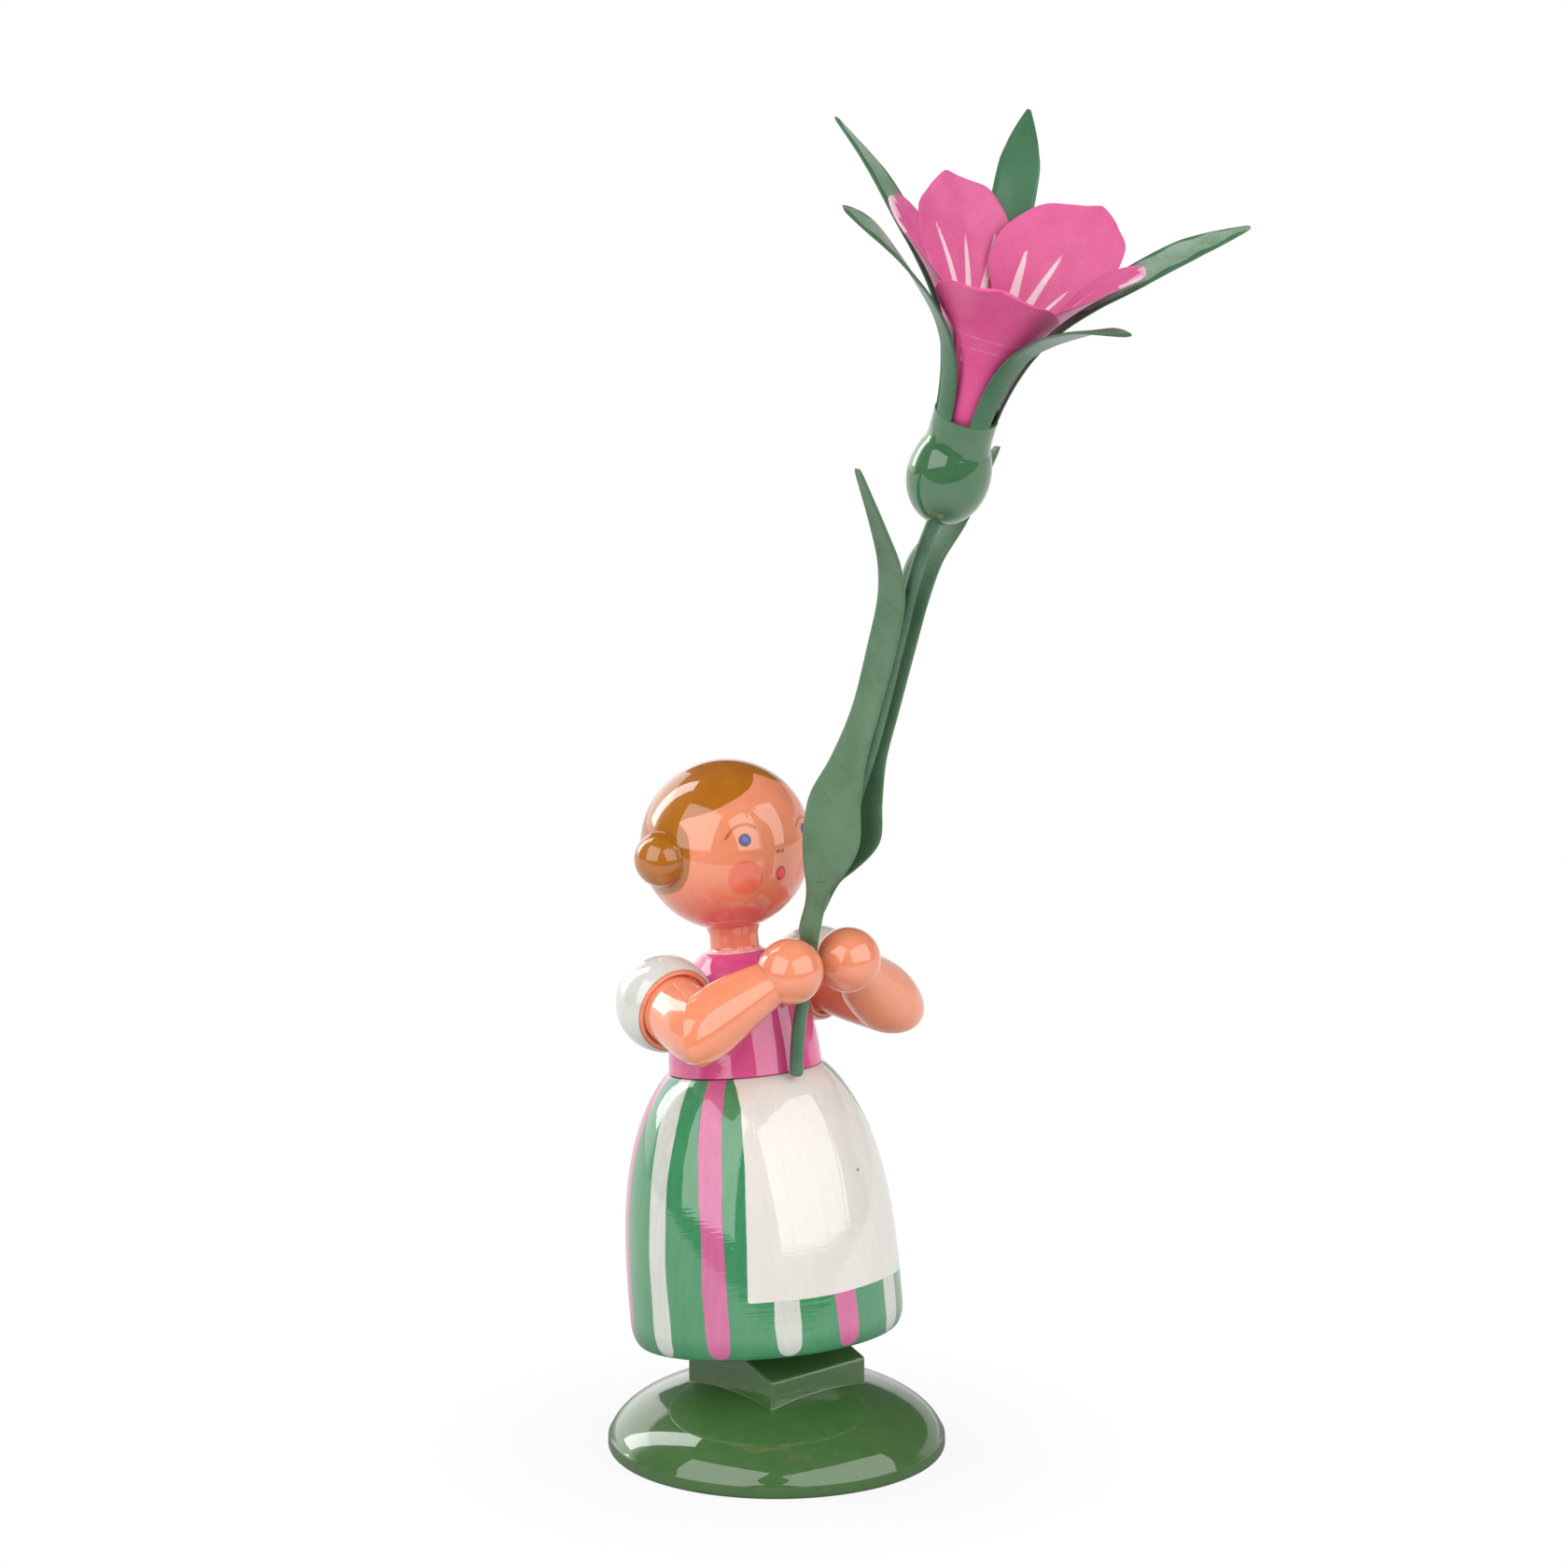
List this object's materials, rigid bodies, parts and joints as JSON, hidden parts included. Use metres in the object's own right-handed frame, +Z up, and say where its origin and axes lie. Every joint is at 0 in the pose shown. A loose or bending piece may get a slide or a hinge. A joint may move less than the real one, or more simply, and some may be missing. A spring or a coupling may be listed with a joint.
{
  "type": "wooden figurine",
  "caption": "Turned and lacquered wooden girl on a round domed base, in a striped bell skirt and apron, holding up one tall open flower with both hands.",
  "frame": {"origin": "middle of the flat underside of the base disc, on the surface it stands on", "axes": "+Z up, -Y the way the girl faces, +X to her left"},
  "size_m": [0.0367, 0.0635, 0.1205],
  "materials": {
    "base_green": "dark olive green gloss lacquer over turned wood",
    "bare_wood": "plain beech dowel, unpainted",
    "skirt_green": "green gloss lacquer with painted pink and white stripes and a white apron",
    "bodice_pink": "magenta gloss lacquer with paler upright stripes",
    "flesh": "orange flesh gloss lacquer, with a painted face on the head",
    "hair_brown": "golden brown gloss lacquer",
    "sleeve_white": "warm white gloss lacquer",
    "stem_green": "matt green paint on a thin bent rod",
    "leaf_green": "matt green paint on a thin cut sheet with a fine grain",
    "petal_pink": "matt pink paint on a thin cut sheet, with white strokes in the throat",
    "bulb_green": "green gloss lacquer"
  },
  "bodies": {
    "root": {"base_disc": "base_green", "base_block": "base_green", "base_peg": "bare_wood", "skirt": "skirt_green", "bodice": "bodice_pink", "neck": "flesh", "head": "flesh", "calyx_bulb": "bulb_green", "stem": "stem_green", "hair_bun_left": "hair_brown", "sleeve_left": "sleeve_white", "upper_arm_left": "flesh", "forearm_left": "flesh", "hand_left": "flesh", "leaf_left": "leaf_green", "hair_bun_right": "hair_brown", "sleeve_right": "sleeve_white", "upper_arm_right": "flesh", "forearm_right": "flesh", "hand_right": "flesh", "leaf_right": "leaf_green", "petal_1": "petal_pink", "sepal_1": "leaf_green", "petal_2": "petal_pink", "sepal_2": "leaf_green", "petal_3": "petal_pink", "sepal_3": "leaf_green", "petal_4": "petal_pink", "sepal_4": "leaf_green", "petal_5": "petal_pink", "sepal_5": "leaf_green"}
  },
  "joints": []
}
